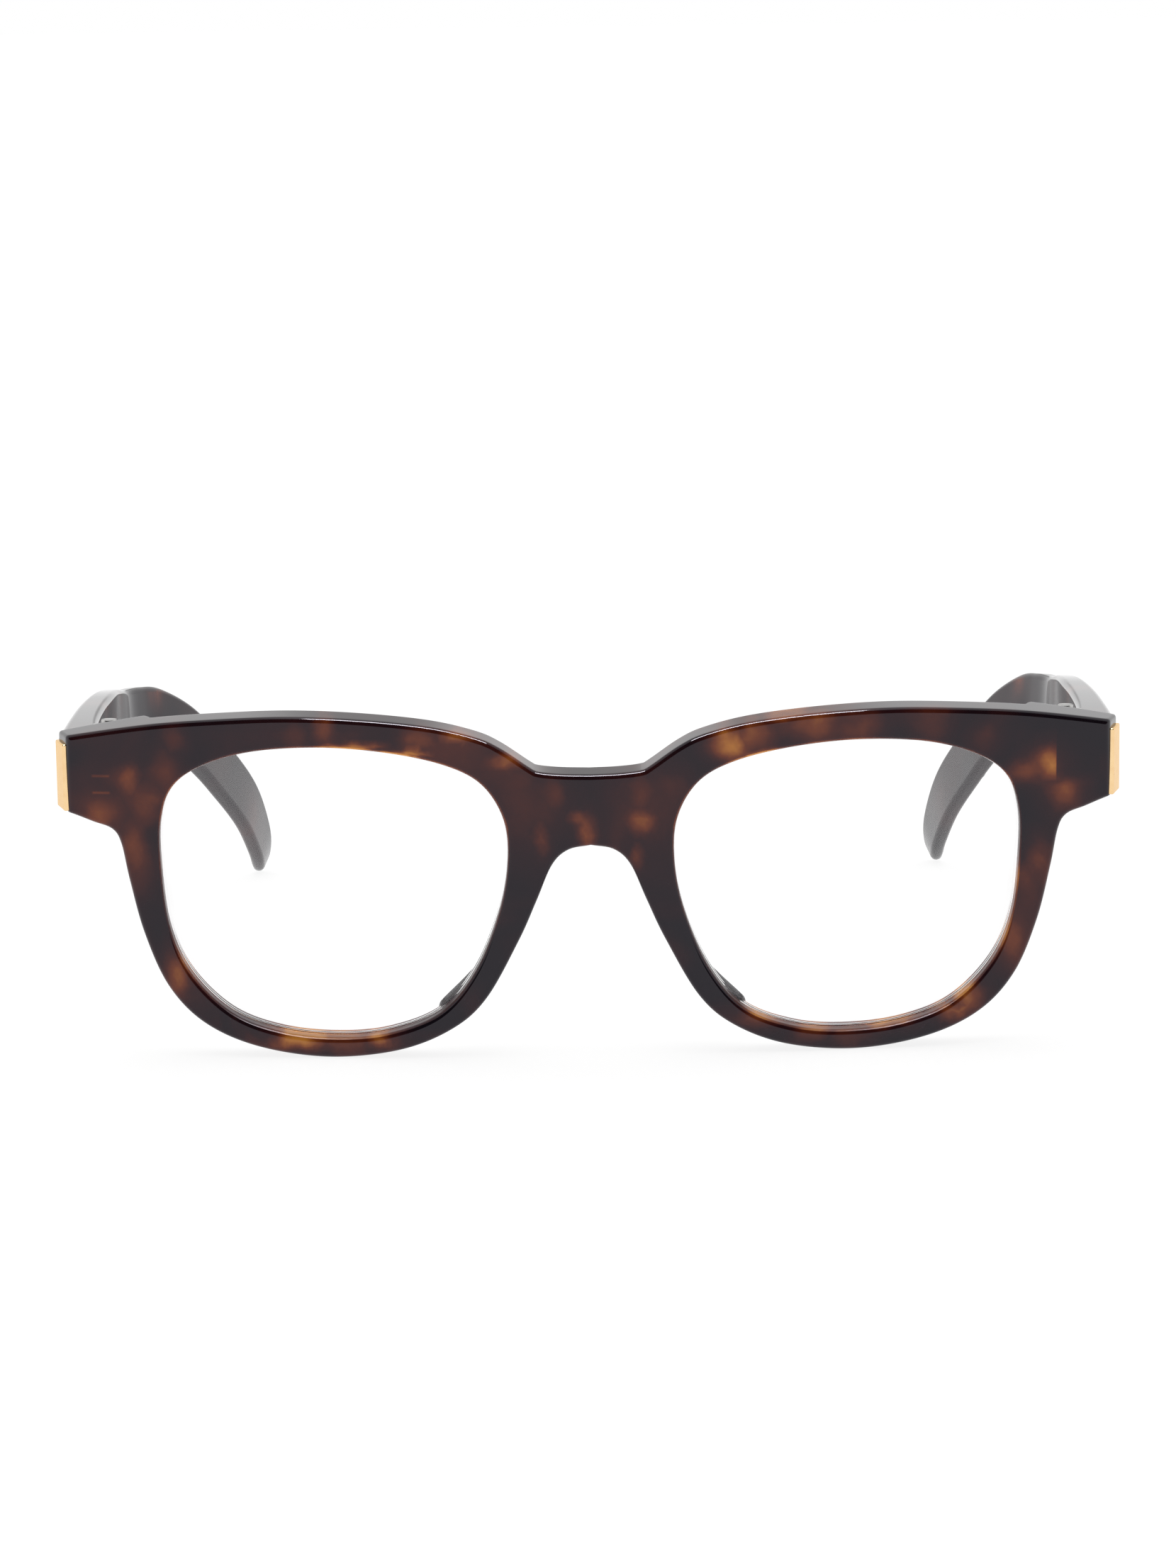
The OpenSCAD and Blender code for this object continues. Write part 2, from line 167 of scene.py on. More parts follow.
# Streaks of the temples, on either side alike: y, z, half length, half height, strength.
TEMPLE_PATCHES = [
    (14, 42, 4, 2.5, 0.5), (31, 38, 5, 2, 0.5), (48, 41.5, 4, 2.5, 0.4), (63, 36, 5, 2, 0.5),
    (79, 38.5, 4, 2, 0.35), (98, 36.5, 7, 0.5, 0.5), (112, 26, 2.5, 2, 0.2),
    (124, 12, 2.5, 3, 0.25),
]


# ---- curves ----

def blend(a, b, c, d, u):
    """Catmull-Rom blend of four points at u."""
    return 0.5 * (2 * b + (c - a) * u + (2 * a - 5 * b + 4 * c - d) * u * u
                  + (3 * b - a - 3 * c + d) * u ** 3)


def smooth(points, steps):
    """Smooth open line through points."""
    p = np.array(points, float)
    p = np.vstack([2 * p[0] - p[1], p, 2 * p[-1] - p[-2]])
    line = [blend(*p[i:i + 4], k / steps) for i in range(len(p) - 3) for k in range(steps)]
    return np.array(line + [p[-2]])


def smooth_loop(points, steps):
    """Smooth closed line through points."""
    p = np.array(points, float)
    n = len(p)
    return np.array([blend(p[i - 1], p[i], p[(i + 1) % n], p[(i + 2) % n], k / steps)
                     for i in range(n) for k in range(steps)])


def to_right(line, distance, closed=False):
    """The line moved to its right-hand side."""
    if closed:
        run = np.roll(line, -1, axis=0) - np.roll(line, 1, axis=0)
    else:
        run = np.gradient(line, axis=0)
    run /= np.linalg.norm(run, axis=1, keepdims=True)
    return line + distance * np.column_stack([run[:, 1], -run[:, 0]])


def travelled(line):
    """Distance along the line at each of its points."""
    steps = np.linalg.norm(np.diff(line, axis=0), axis=1)
    return np.concatenate([[0], np.cumsum(steps)])


def spread(line, count):
    """count points spaced evenly along the line."""
    travel = travelled(line)
    at = np.linspace(0, travel[-1], count)
    return np.column_stack([np.interp(at, travel, line[:, k]) for k in range(line.shape[1])])


def shorten(line, length):
    """The line without its last stretch of that length."""
    travel = travelled(line)
    stop = travel[-1] - length
    end = [np.interp(stop, travel, line[:, k]) for k in range(line.shape[1])]
    return np.vstack([line[travel < stop - 1e-6], end])


def round_corner(start, corner, end, count):
    """Points of a rounding between start and end, without either."""
    u = np.linspace(0, 1, count + 2)[1:-1, None]
    return (1 - u) ** 2 * start + 2 * u * (1 - u) * corner + u * u * end


def ease(u):
    """0 below 0, 1 above 1, smooth between."""
    u = np.clip(u, 0, 1)
    return u * u * (3 - 2 * u)


def quarter(steps):
    """Angles over a quarter turn."""
    return [math.pi / 2 * k / steps for k in range(steps + 1)]


# ---- placing ----

def lean(p):
    """Upright front point to its leaned place."""
    x, y, z = p
    return (x, y * math.cos(LEAN) - z * math.sin(LEAN), y * math.sin(LEAN) + z * math.cos(LEAN))


def in_row(p):
    """Drawing frame in millimetres to the row's frame in metres."""
    return Vector((p[0], p[1] + ORIGIN_Y, p[2] + ORIGIN_Z)) * MM


def turned(p, pivot, angle):
    """p turned about a vertical axis through pivot."""
    x, y = p[0] - pivot[0], p[1] - pivot[1]
    c, s = math.cos(angle), math.sin(angle)
    return (pivot[0] + x * c - y * s, pivot[1] + x * s + y * c, p[2])


def splayed(p, side):
    return turned(p, (HINGE_X, HINGE_Y), -SPLAY[side])


def sided(p, side):
    """Left-hand point put on its side."""
    return p if side == "left" else (-p[0], p[1], p[2])


def on_side_face(along, out, z):
    """Point on the left side face: along it, out of it and up."""
    s, c = math.sin(FLARE), math.cos(FLARE)
    return (SIDE_START[0] + along * s + out * c, SIDE_START[1] + along * c - out * s, z)


def on_inner_face(out, along, z):
    """Point on the left temple's inner face."""
    return turned((INNER_FACE_X + out, JOINT_Y + along, z), (INNER_FACE_X, JOINT_Y),
                  INNER_FACE_TURN)


# ---- meshes ----

def mesh_object(name, verts, faces):
    """Object from drawing-frame points, welded, with its normals outwards."""
    mesh = bpy.data.meshes.new(name)
    mesh.from_pydata([in_row(p) for p in verts], [], faces)
    work = bmesh.new()
    work.from_mesh(mesh)
    bmesh.ops.remove_doubles(work, verts=work.verts, dist=2e-6)
    bmesh.ops.recalc_face_normals(work, faces=work.faces)
    work.to_mesh(mesh)
    work.free()
    obj = bpy.data.objects.new(name, mesh)
    bpy.context.scene.collection.objects.link(obj)
    return obj


def loft(rings, start=0):
    """Quads between closed rings of equal length, numbered from start."""
    n = len(rings[0])
    return [(start + i * n + k, start + i * n + (k + 1) % n,
             start + (i + 1) * n + (k + 1) % n, start + (i + 1) * n + k)
            for i in range(len(rings) - 1) for k in range(n)]


def capped(rings):
    """Vertices and faces of a closed skin over rings."""
    n = len(rings[0])
    verts = [p for ring in rings for p in ring]
    last = (len(rings) - 1) * n
    faces = loft(rings) + [tuple(range(n))[::-1], tuple(range(last, last + n))]
    return verts, faces


def box_shell(corner, size, place):
    """Vertices and faces of a box whose corners place() puts in the drawing frame."""
    x, y, z = corner
    w, d, h = size
    rings = [[place(*q) for q in ((x, y, v), (x + w, y, v), (x + w, y + d, v), (x, y + d, v))]
             for v in (z, z + h)]
    return capped(rings)


def tube_shell(outer, inner, bottom, top, steps=48):
    """Vertices and faces of an upright tube about the hinge axis; solid if inner is 0."""
    def ring(r, z):
        return [(HINGE_X + r * math.cos(a), HINGE_Y + r * math.sin(a), z)
                for a in (2 * math.pi * k / steps for k in range(steps))]
    if not inner:
        return capped([ring(outer, bottom), ring(outer, top)])
    rings = [ring(outer, bottom), ring(outer, top), ring(inner, top), ring(inner, bottom),
             ring(outer, bottom)]
    return [p for r in rings for p in r], loft(rings)


def apply_modifiers(obj):
    """Bakes the object's modifiers into its mesh."""
    view = bpy.context.evaluated_depsgraph_get()
    mesh = bpy.data.meshes.new_from_object(obj.evaluated_get(view))
    obj.modifiers.clear()
    obj.data = mesh


def combine(obj, others, operation):
    """Unites the object with others, or cuts them out of it, and removes them."""
    for other in others:
        step = obj.modifiers.new("combine", "BOOLEAN")
        step.operation = operation
        step.solver = "EXACT"
        step.object = other
    apply_modifiers(obj)
    for other in others:
        bpy.data.objects.remove(other)


def weld(obj, distance):
    """Joins the object's points that lie within distance millimetres of each other."""
    work = bmesh.new()
    work.from_mesh(obj.data)
    bmesh.ops.remove_doubles(work, verts=work.verts, dist=distance * MM)
    bmesh.ops.dissolve_degenerate(work, edges=work.edges, dist=distance * MM)
    work.to_mesh(obj.data)
    work.free()


def soften(obj, width, segments=3, angle=30):
    """Rounds an object's edges by width millimetres."""
    step = obj.modifiers.new("soften", "BEVEL")
    step.width = width * MM
    step.segments = segments
    step.limit_method = "ANGLE"
    step.angle_limit = math.radians(angle)
    step.use_clamp_overlap = True
    apply_modifiers(obj)


def shade(obj, angle=32):
    """Smooth shading that breaks at sharp edges and keeps flat faces flat."""
    obj.data.shade_smooth()
    obj.data.set_sharp_from_angle(angle=math.radians(angle))
    step = obj.modifiers.new("flats", "WEIGHTED_NORMAL")
    step.keep_sharp = True


def finish_piece(obj, material, body, slot, *nodes):
    """Gives a piece its material and body, and hides the CAD nodes it stands for. slot is not used.
    """
    obj.data.materials.clear()
    obj.data.materials.append(material)
    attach(obj, body)
    if nodes:
        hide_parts(*nodes)


# ---- front ----

def wrap(x):
    """Depth of the wrapped middle surface at x."""
    return WRAP_R - np.sqrt(WRAP_R ** 2 - x * x)


def front_face(x, z):
    return wrap(x) - FRONT_T / 2


def back_face(x, z):
    """Back of the rims, thickened to a flat seat behind each end piece."""
    rim = wrap(x) + FRONT_T / 2
    seat = (JOINT_Y + z * math.sin(LEAN)) / math.cos(LEAN)
    share = ease((abs(x) - SEAT_X) / SEAT_EASE[0]) * ease((z - SEAT_Z) / SEAT_EASE[1])
    return rim + (seat - rim) * share


def side_limit(y, z):
    """x of the flared side face at an upright y and z."""
    drawn_y = y * math.cos(LEAN) - z * math.sin(LEAN)
    return SIDE_START[0] + (drawn_y - SIDE_START[1]) * math.tan(FLARE)


def cut_at_side(line, depth, gap):
    """An outward-running line, ended where it meets the side face."""
    x, z = line[:, 0], line[:, 1]
    excess = x - side_limit(depth(x, z), z) + gap
    first = int(np.argmax(excess > 0))
    share = -excess[first - 1] / (excess[first] - excess[first - 1])
    return np.vstack([line[:first], line[first - 1] + share * (line[first] - line[first - 1])])


BROW = smooth(BROW_LINE, 12)
LOWER = smooth(LOWER_LINE, 12)
EYE = smooth_loop(EYE_LINE, 12)


def outer_ring(inset, depth):
    """Closed outline of the front, inset by a distance, at depth(x, z)."""
    brow = cut_at_side(to_right(BROW, inset), depth, inset * SIDE_EDGE_SHARE)
    lower = cut_at_side(to_right(LOWER, inset)[::-1], depth, inset * SIDE_EDGE_SHARE)
    side = np.array([brow[-1], lower[-1]])
    trim = max(CORNER - inset, 0.12)
    brow_part = spread(shorten(brow, trim), 150)
    side_part = spread(shorten(shorten(side, trim)[::-1], trim)[::-1], 14)
    # a hair of bulge, so that the face's triangulation has no points in line
    side_part[:, 0] += 0.02 * (1 - np.linspace(-1, 1, 14) ** 2)
    lower_part = spread(shorten(lower, trim), 210)[::-1]
    half = np.vstack([
        brow_part, round_corner(brow_part[-1], side[0], side_part[0], 5),
        side_part, round_corner(side_part[-1], side[1], lower_part[0], 5), lower_part])
    half[0, 0] = half[-1, 0] = 0
    other = half[-2:0:-1] * (-1, 1)
    loop = np.vstack([half, other])
    return np.column_stack([loop[:, 0], depth(loop[:, 0], loop[:, 1]), loop[:, 1]])


def eye_ring(grow, depth, mirror):
    """Outline of a lens opening, grown by a distance, at depth(x, z)."""
    loop = to_right(EYE, grow, closed=True) * (mirror, 1)
    return np.column_stack([loop[:, 0], depth(loop[:, 0], loop[:, 1]), loop[:, 1]])


def edge_rows(front_edge, back_edge):
    """(inset, depth function) of each ring from the front face over the edge to the back."""
    def from_front(d):
        return lambda x, z: front_face(x, z) + d

    def from_back(d):
        return lambda x, z: back_face(x, z) - d

    def between(share):
        return lambda x, z: ((front_face(x, z) + front_edge) * (1 - share)
                             + (back_face(x, z) - back_edge) * share)

    rows = [(front_edge + SUPPORT, from_front(0))]
    rows += [(front_edge * (1 - math.sin(a)), from_front(front_edge * (1 - math.cos(a))))
             for a in quarter(9)]
    rows += [(0, between(share)) for share in (0.25, 0.5, 0.75)]
    rows += [(back_edge * (1 - math.sin(a)), from_back(back_edge * (1 - math.cos(a))))
             for a in quarter(7)[::-1]]
    return rows + [(back_edge + SUPPORT, from_back(0))]


def groove_rows(rows):
    """The rows of an opening's wall, with the lens groove in place of its middle ones."""
    half = GROOVE_W / 2
    steps = [(0, -half), (GROOVE_D, -half * 0.6), (GROOVE_D, half * 0.6), (0, half)]
    groove = [(grow, (lambda y: lambda x, z: wrap(x) + y)(y)) for grow, y in steps]
    middle = [i for i, row in enumerate(rows) if row[0] == 0]
    return rows[:middle[0] + 1] + groove + rows[middle[-1]:]


def inside(points, loop):
    """Which points lie inside a closed loop."""
    x, z = points[:, 0:1], points[:, 1:2]
    a, b = loop, np.roll(loop, -1, axis=0)
    spans = (a[:, 1] > z) != (b[:, 1] > z)
    rise = np.where(b[:, 1] == a[:, 1], 1, b[:, 1] - a[:, 1])
    crossing = a[:, 0] + (z - a[:, 1]) * (b[:, 0] - a[:, 0]) / rise
    return (np.sum(spans & (x < crossing), axis=1) % 2) == 1


def face_fill(outer, holes, spacing, columns):
    """Flat triangles between an outer loop and holes, with a grid of points inside.

    columns lists each x where the face bends sharply; it gets close points of its own."""
    loops = [outer] + holes
    edge = np.vstack(loops)
    low, high = edge.min(0), edge.max(0)
    xs = np.arange(low[0], high[0], spacing)
    zs = np.arange(low[1], high[1], spacing * 0.87)
    grid = np.array([(x + spacing / 2 * (j % 2), z) for j, z in enumerate(zs) for x in xs])

    def clear(points, gap):
        keep = inside(points, outer)
        for hole in holes:
            keep &= ~inside(points, hole)
        points = points[keep]
        near = np.array([np.min(np.sum((edge - p) ** 2, axis=1)) for p in points])
        return points[near > gap ** 2]

    grid = clear(grid, 0.55 * spacing)
    if len(columns):
        grid = grid[np.min(np.abs(grid[:, :1] - columns), axis=1) > 0.3 * spacing]
        close = spacing / 2
        close_zs = np.arange(low[1], high[1], close)
        added = np.array([(x, z + close / 2 * (j % 2)) for j, x in enumerate(columns)
                          for z in close_zs])
        grid = np.vstack([grid, clear(added, 0.4 * close)])
    links, start = [], 0
    for loop in loops:
        links += [(start + k, start + (k + 1) % len(loop)) for k in range(len(loop))]
        start += len(loop)
    verts, _, faces, *_ = delaunay_2d_cdt(
        [Vector(p) for p in np.vstack([edge, grid])], links, [], 0, 1e-6)
    verts = np.array([tuple(v) for v in verts])
    faces = np.array([f for f in faces])
    middle = verts[faces].mean(axis=1)
    keep = inside(middle, outer)
    for hole in holes:
        keep &= ~inside(middle, hole)
    return verts, faces[keep]


def filled(loops, depth, spacing, columns=()):
    """Points and triangles of a face between 3-D loops, the first one outside."""
    flat, faces = face_fill(loops[0][:, ::2], [loop[:, ::2] for loop in loops[1:]], spacing,
                            columns)
    points = np.column_stack([flat[:, 0], depth(flat[:, 0], flat[:, 1]), flat[:, 1]])
    return points, faces


def front_shell():
    """Drawing-frame points and faces of the whole front, without its recesses."""
    rows = edge_rows(FRONT_EDGE, BACK_EDGE)
    outer = [outer_ring(inset, depth) for inset, depth in rows]
    eyes = [[eye_ring(grow, depth, mirror) for grow, depth in groove_rows(rows)]
            for mirror in (1, -1)]
    verts, faces = [], []
    for rings in [outer] + eyes:
        faces += loft(rings, len(verts))
        verts += [p for ring in rings for p in ring]
    slope = SEAT_X + SEAT_EASE[0] * np.linspace(0, 1, 9)
    for end, depth, columns in ((0, front_face, ()),
                                (-1, back_face, np.concatenate([-slope, slope]))):
        points, triangles = filled([rings[end] for rings in [outer] + eyes], depth, 0.9, columns)
        faces += [tuple(int(i) + len(verts) for i in t) for t in triangles]
        verts += list(points)
    return [lean(p) for p in verts], faces


def opening_walls(obj):
    """Which vertices lie on the walls of the lens openings."""
    points = np.array([(abs(v.co.x), v.co.z) for v in obj.data.vertices]) / MM
    across = np.array([abs(v.normal.y) for v in obj.data.vertices])
    return inside(points, to_right(EYE, GROOVE_D + 0.3, closed=True)) & (across < 0.75)


def store(obj, name, values):
    layer = obj.data.attributes.new(name, "FLOAT", "POINT")
    layer.data.foreach_set("value", values)


def paint_patches(obj, patches, pick, walls=None):
    """Stores on each vertex how light its acetate is, from soft uneven patches.

    On walls the patches are painted lighter, standing in for light from behind that comes through."""
    values = []
    for i, vert in enumerate(obj.data.vertices):
        p = vert.co / MM
        x, z = pick(p)
        wobble = noise.noise_vector(p * 0.3) * 0.6 + noise.noise_vector(p * 0.9) * 0.3
        x, z = x + wobble.x, z + wobble.z
        total = 0
        for px, pz, rx, rz, strength in patches:
            away = math.hypot((x - px) / (rx * PATCH_GROW), (z - pz) / (rz * PATCH_GROW))
            if away < PATCH_REACH:
                core, halo = ease((1.3 - away) / 1.2), ease((PATCH_REACH - away) / 2.2)
                total = max(total, strength * float(0.6 * core + 0.4 * halo))
        if walls is not None and walls[i]:
            # painted light: walls lightened as if lit from behind through the acetate
            total = min(1, WALL_PAINTED_BACKLIGHT[0] + WALL_PAINTED_BACKLIGHT[1] * total)
        values.append(total)
    store(obj, "patch", values)


def make_front():
    obj = mesh_object("front_acetate", *front_shell())
    cutters = []
    for side in ("left", "right"):
        recess = box_shell(
            (PLAQUE_START - 0.02, PLAQUE_PROUD - PLAQUE_T, PLAQUE_BOTTOM - 0.02),
            (9, 5, PLAQUE_H + 0.04), lambda a, o, z, s=side: sided(on_side_face(a, o, z), s))
        seat = box_shell(
            (HINGE_X + BARREL_R - FRONT_PLATE_W - 0.03, JOINT_Y - PLATE_T, HINGE_BOTTOM - 0.03),
            (FRONT_PLATE_W + 0.06, 4, 4 * BARREL_PITCH + BARREL_H + 0.06),
            lambda x, y, z, s=side: sided((x, y, z), s))
        cutters += [mesh_object("cut", *recess), mesh_object("cut", *seat)]
    combine(obj, cutters, "DIFFERENCE")
    walls = opening_walls(obj)
    paint_patches(obj, FRONT_PATCHES, lambda p: (p.x, p.z), walls)
    store(obj, "wall", walls.astype(float))
    shade(obj)
    return obj


# ---- temples ----

def unit(v):
    return v / np.linalg.norm(v)


def rounded_box(w, h, inset=0):
    """Rounded rectangle around the origin."""
    w, h = w - 2 * inset, h - 2 * inset
    r = min(1.0, w / 2.2, h / 2.2)
    points = []
    for sx, sy, turn in ((1, 1, 0), (-1, 1, 90), (-1, -1, 180), (1, -1, 270)):
        for k in range(9):
            a = math.radians(turn + 90 * k / 8)
            points.append((sx * (w / 2 - r) + r * math.cos(a), sy * (h / 2 - r) + r * math.sin(a)))
        # a point in the middle of the straight stretch keeps long faces even
        a = math.radians(turn + 90)
        ex, ey = sx * (w / 2 - r) + r * math.cos(a), sy * (h / 2 - r) + r * math.sin(a)
        points.append((0, ey) if turn in (0, 180) else (ex, 0))
    return points


def temple_section(stations, i, inset=0):
    """Ring of the temple at station i, in the unsplayed drawing frame."""
    at = stations[:, [2, 0, 1]]
    before, after = at[max(i - 1, 0)], at[min(i + 1, len(at) - 1)]
    travel = unit(after - before)
    up = unit(np.array([0, -travel[2], travel[1]]))
    out = unit(np.cross(travel, up))
    a = math.radians(stations[i, 5])
    out, up = out * math.cos(a) - up * math.sin(a), up * math.cos(a) + out * math.sin(a)
    middle = at[i] - out * stations[i, 4] / 2
    return [middle + out * u + up * v
            for u, v in rounded_box(stations[i, 4], stations[i, 3], inset)]


def make_temple(side):
    stations = smooth(TEMPLE_LINE, 9)
    stations[:, 2] -= TIP_IN[side] * ease((stations[:, 0] - OWN_BEND[0])
                                          / (OWN_BEND[1] - OWN_BEND[0]))
    butt = JOINT_Y + BUTT_GAP
    first = int(np.argmax(stations[:, 0] > butt + 0.6))
    rings = []
    for inset, back in ((0.3, 0), (0.16, 0.03), (0.07, 0.1), (0.02, 0.2), (0, 0.35)):
        ring = [splayed(p, side) for p in temple_section(stations, first - 1, inset)]
        rings.append([(x, butt + back, z) for x, y, z in ring])
    last = len(stations) - 1
    gap = np.linalg.norm(stations[last, :3] - stations[last - 1, :3])
    round_from = last - int(TIP_ROUND / gap) - 1
    for i in range(first, round_from):
        rings.append([splayed(p, side) for p in temple_section(stations, i)])
    for a in quarter(6):
        inset = TIP_ROUND * (1 - math.cos(a))
        at = last - TIP_ROUND * (1 - math.sin(a)) / gap
        i = min(int(at), last - 1)
        near, far = (temple_section(stations, k, inset) for k in (i, i + 1))
        rings.append([splayed(p + (q - p) * (at - i), side) for p, q in zip(near, far)])
    rings = [[sided(tuple(p), side) for p in ring] for ring in rings]
    obj = mesh_object(f"temple_acetate_{side}", *capped(rings))
    room = box_shell((HINGE_X - 9, JOINT_Y - 5, HINGE_BOTTOM - 0.4), (10.8, 9.3, 20),
                     lambda x, y, z: sided(splayed((x, y, z), side), side))
    seat = box_shell(
        (-3, TEMPLE_PLATE_START - 0.02, HINGE_BOTTOM + BARREL_PITCH - 0.02),
        (3 + PLATE_T - PLATE_PROUD, TEMPLE_PLATE_LEN + 0.04, 3 * BARREL_PITCH + 0.29),
        lambda o, a, z: sided(splayed(on_inner_face(o, a, z), side), side))
    combine(obj, [mesh_object("cut", *room), mesh_object("cut", *seat)], "DIFFERENCE")
    paint_patches(obj, TEMPLE_PATCHES, lambda p: (p.y - ORIGIN_Y, p.z))
    shade(obj)
    return obj


# ---- nose pads ----

def make_pad(side, front):
    """Drop-shaped pad seated on the back of the rim."""
    balls = smooth(PAD_BALLS, 8)
    rings = []
    axis = unit(np.array(balls[-1][:3]) - np.array(balls[0][:3]))
    across = unit(np.cross(axis, (0, 1, 0)))
    deep = np.cross(axis, across)

    def ring(middle, r):
        return [middle + r * (across * math.cos(t) + deep * math.sin(t))
                for t in (2 * math.pi * k / 32 for k in range(32))]
    for a in quarter(8)[:0:-1]:
        rings.append(ring(balls[0][:3] - axis * balls[0][3] * math.sin(a),
                          balls[0][3] * max(math.cos(a), 0.02)))
    for ball in balls:
        rings.append(ring(ball[:3], ball[3]))
    for a in quarter(8)[1:]:
        rings.append(ring(balls[-1][:3] + axis * balls[-1][3] * math.sin(a),
                          balls[-1][3] * max(math.cos(a), 0.02)))
    rings = [[sided(lean(p), side) for p in r] for r in rings]
    obj = mesh_object(f"nose_pad_acetate_{side}", *capped(rings))
    cut = obj.modifiers.new("seat", "BOOLEAN")
    cut.operation = "DIFFERENCE"
    cut.solver = "EXACT"
    cut.object = front
    apply_modifiers(obj)
    paint_patches(obj, FRONT_PATCHES, lambda p: (p.x, p.z))
    shade(obj)
    return obj


# ---- lenses ----

def make_lens(side):
    mirror = 1 if side == "left" else -1
    half = LENS_T / 2
    rim = GROOVE_W / 2 * 0.6 - LENS_GAP
    steps = [(-LENS_GAP - 0.5, -half), (-LENS_GAP - 0.12, -half),
             (-LENS_GAP - 0.04, -half + 0.03),
             (-LENS_GAP, -half + 0.12), (-LENS_GAP, -GROOVE_W / 2 - 0.02),
             (GROOVE_D - LENS_GAP, -rim), (GROOVE_D - LENS_GAP, rim),
             (-LENS_GAP, GROOVE_W / 2 + 0.02), (-LENS_GAP, half - 0.12),
             (-LENS_GAP - 0.04, half - 0.03), (-LENS_GAP - 0.12, half),
             (-LENS_GAP - 0.5, half)]
    rings = [eye_ring(grow, (lambda y: lambda x, z: wrap(x) + y)(y), mirror)
             for grow, y in steps]
    verts = [p for ring in rings for p in ring]
    faces = loft(rings)
    for ring, y in ((rings[0], -half), (rings[-1], half)):
        points, triangles = filled([ring], lambda x, z, y=y: wrap(x) + y, 2.5)
        faces += [tuple(int(i) + len(verts) for i in t) for t in triangles]
        verts += list(points)
    obj = mesh_object(f"lens_clear_{side}", [lean(p) for p in verts], faces)
    shade(obj, 12)
    return obj


# ---- plaques and hinges ----

def make_plaque(side):
    def place(along, out, z):
        return sided(on_side_face(along, out, z), side)
    body = mesh_object(f"plaque_gold_{side}", *box_shell(
        (PLAQUE_START, PLAQUE_PROUD - PLAQUE_T, PLAQUE_BOTTOM),
        (PLAQUE_LEN, PLAQUE_T, PLAQUE_H), place))
    soften(body, 0.22, 4)
    shade(body)
    return body


def barrel_z(i):
    return HINGE_BOTTOM + i * BARREL_PITCH


def make_leaf(name, shells, place):
    """One hinge leaf: its parts united, its edges softened, then moved by place()."""
    parts = []
    for k, (verts, faces) in enumerate(shells):
        parts.append(mesh_object(f"{name}_{k}", [place(tuple(p)) for p in verts], faces))
    leaf = parts[0]
    leaf.name = name
    combine(leaf, parts[1:], "UNION")
    weld(leaf, 0.02)
    soften(leaf, 0.1, 2)
    weld(leaf, 0.001)
    shade(leaf)
    return leaf


def make_front_leaf(side):
    bore = SCREW_R + 0.03
    shells = [box_shell((HINGE_X + BARREL_R - FRONT_PLATE_W, JOINT_Y - PLATE_T, HINGE_BOTTOM),
                        (FRONT_PLATE_W, PLATE_T, barrel_z(4) + BARREL_H - HINGE_BOTTOM),
                        lambda x, y, z: (x, y, z))]
    for i in (0, 2, 4):
        shells.append(tube_shell(BARREL_R, bore, barrel_z(i), barrel_z(i) + BARREL_H))
        shells.append(box_shell((HINGE_X - BARREL_R, JOINT_Y - PLATE_T / 2, barrel_z(i)),
                                (2 * BARREL_R, HINGE_Y - JOINT_Y - bore + PLATE_T / 2, BARREL_H),
                                lambda x, y, z: (x, y, z)))
    return make_leaf(f"hinge_leaf_front_{side}", shells, lambda p: sided(p, side))


def make_temple_leaf(side):
    bore = SCREW_R + 0.03
    shells = [box_shell((-PLATE_PROUD, TEMPLE_PLATE_START, barrel_z(1)),
                        (PLATE_T, TEMPLE_PLATE_LEN, 3 * BARREL_PITCH + 0.25), on_inner_face)]
    for i in (1, 3):
        shells.append(tube_shell(BARREL_R, bore, barrel_z(i), barrel_z(i) + BARREL_H))
        shells.append(box_shell((HINGE_X + bore, HINGE_Y - BARREL_R, barrel_z(i)),
                                (1.8 - bore, 2 * BARREL_R + 1.5, BARREL_H),
                                lambda x, y, z: (x, y, z)))
    return make_leaf(f"hinge_leaf_temple_{side}", shells, lambda p: sided(splayed(p, side), side))


def make_screw(side):
    top = barrel_z(4) + BARREL_H
    head = tube_shell(SCREW_HEAD_R, 0, top, top + SCREW_HEAD_H)
    shank = tube_shell(SCREW_R, 0, HINGE_BOTTOM - 0.3, top + 0.1)
    screw = mesh_object(f"hinge_screw_slotted_{side}", [sided(p, side) for p in head[0]], head[1])
    body = mesh_object("shank", [sided(p, side) for p in shank[0]], shank[1])
    combine(screw, [body], "UNION")
    slot = box_shell((HINGE_X - 2, HINGE_Y - SLOT_W / 2, top + SCREW_HEAD_H / 2),
                     (4, SLOT_W, 1), lambda x, y, z: sided((x, y, z), side))
    combine(screw, [mesh_object("slot", *slot)], "DIFFERENCE")
    soften(screw, 0.08, 2)
    shade(screw)
    return screw


# ---- materials ----

def new_material(name):
    material = bpy.data.materials.new(name)
    material.use_nodes = True
    tree = material.node_tree
    shader = tree.nodes["Principled BSDF"]
    return material, tree, shader


def node(tree, kind, **inputs):
    """Adds a node and sets its inputs by name."""
    made = tree.nodes.new(kind)
    for key, value in inputs.items():
        made.inputs[key].default_value = value
    return made


def noise_node(tree, place, scale, detail=3, rough=0.5, distortion=0.0):
    made = node(tree, "ShaderNodeTexNoise", Scale=scale, Detail=detail, Roughness=rough,
                Distortion=distortion)
    tree.links.new(place, made.inputs["Vector"])
    return made.outputs["Fac"]


def math_node(tree, operation, a, b, clamp=False):
    made = tree.nodes.new("ShaderNodeMath")
    made.operation = operation
    made.use_clamp = clamp
    for socket, value in zip(made.inputs, (a, b)):
        if isinstance(value, (int, float)):
            socket.default_value = value
        else:
            tree.links.new(value, socket)
    return made.outputs[0]


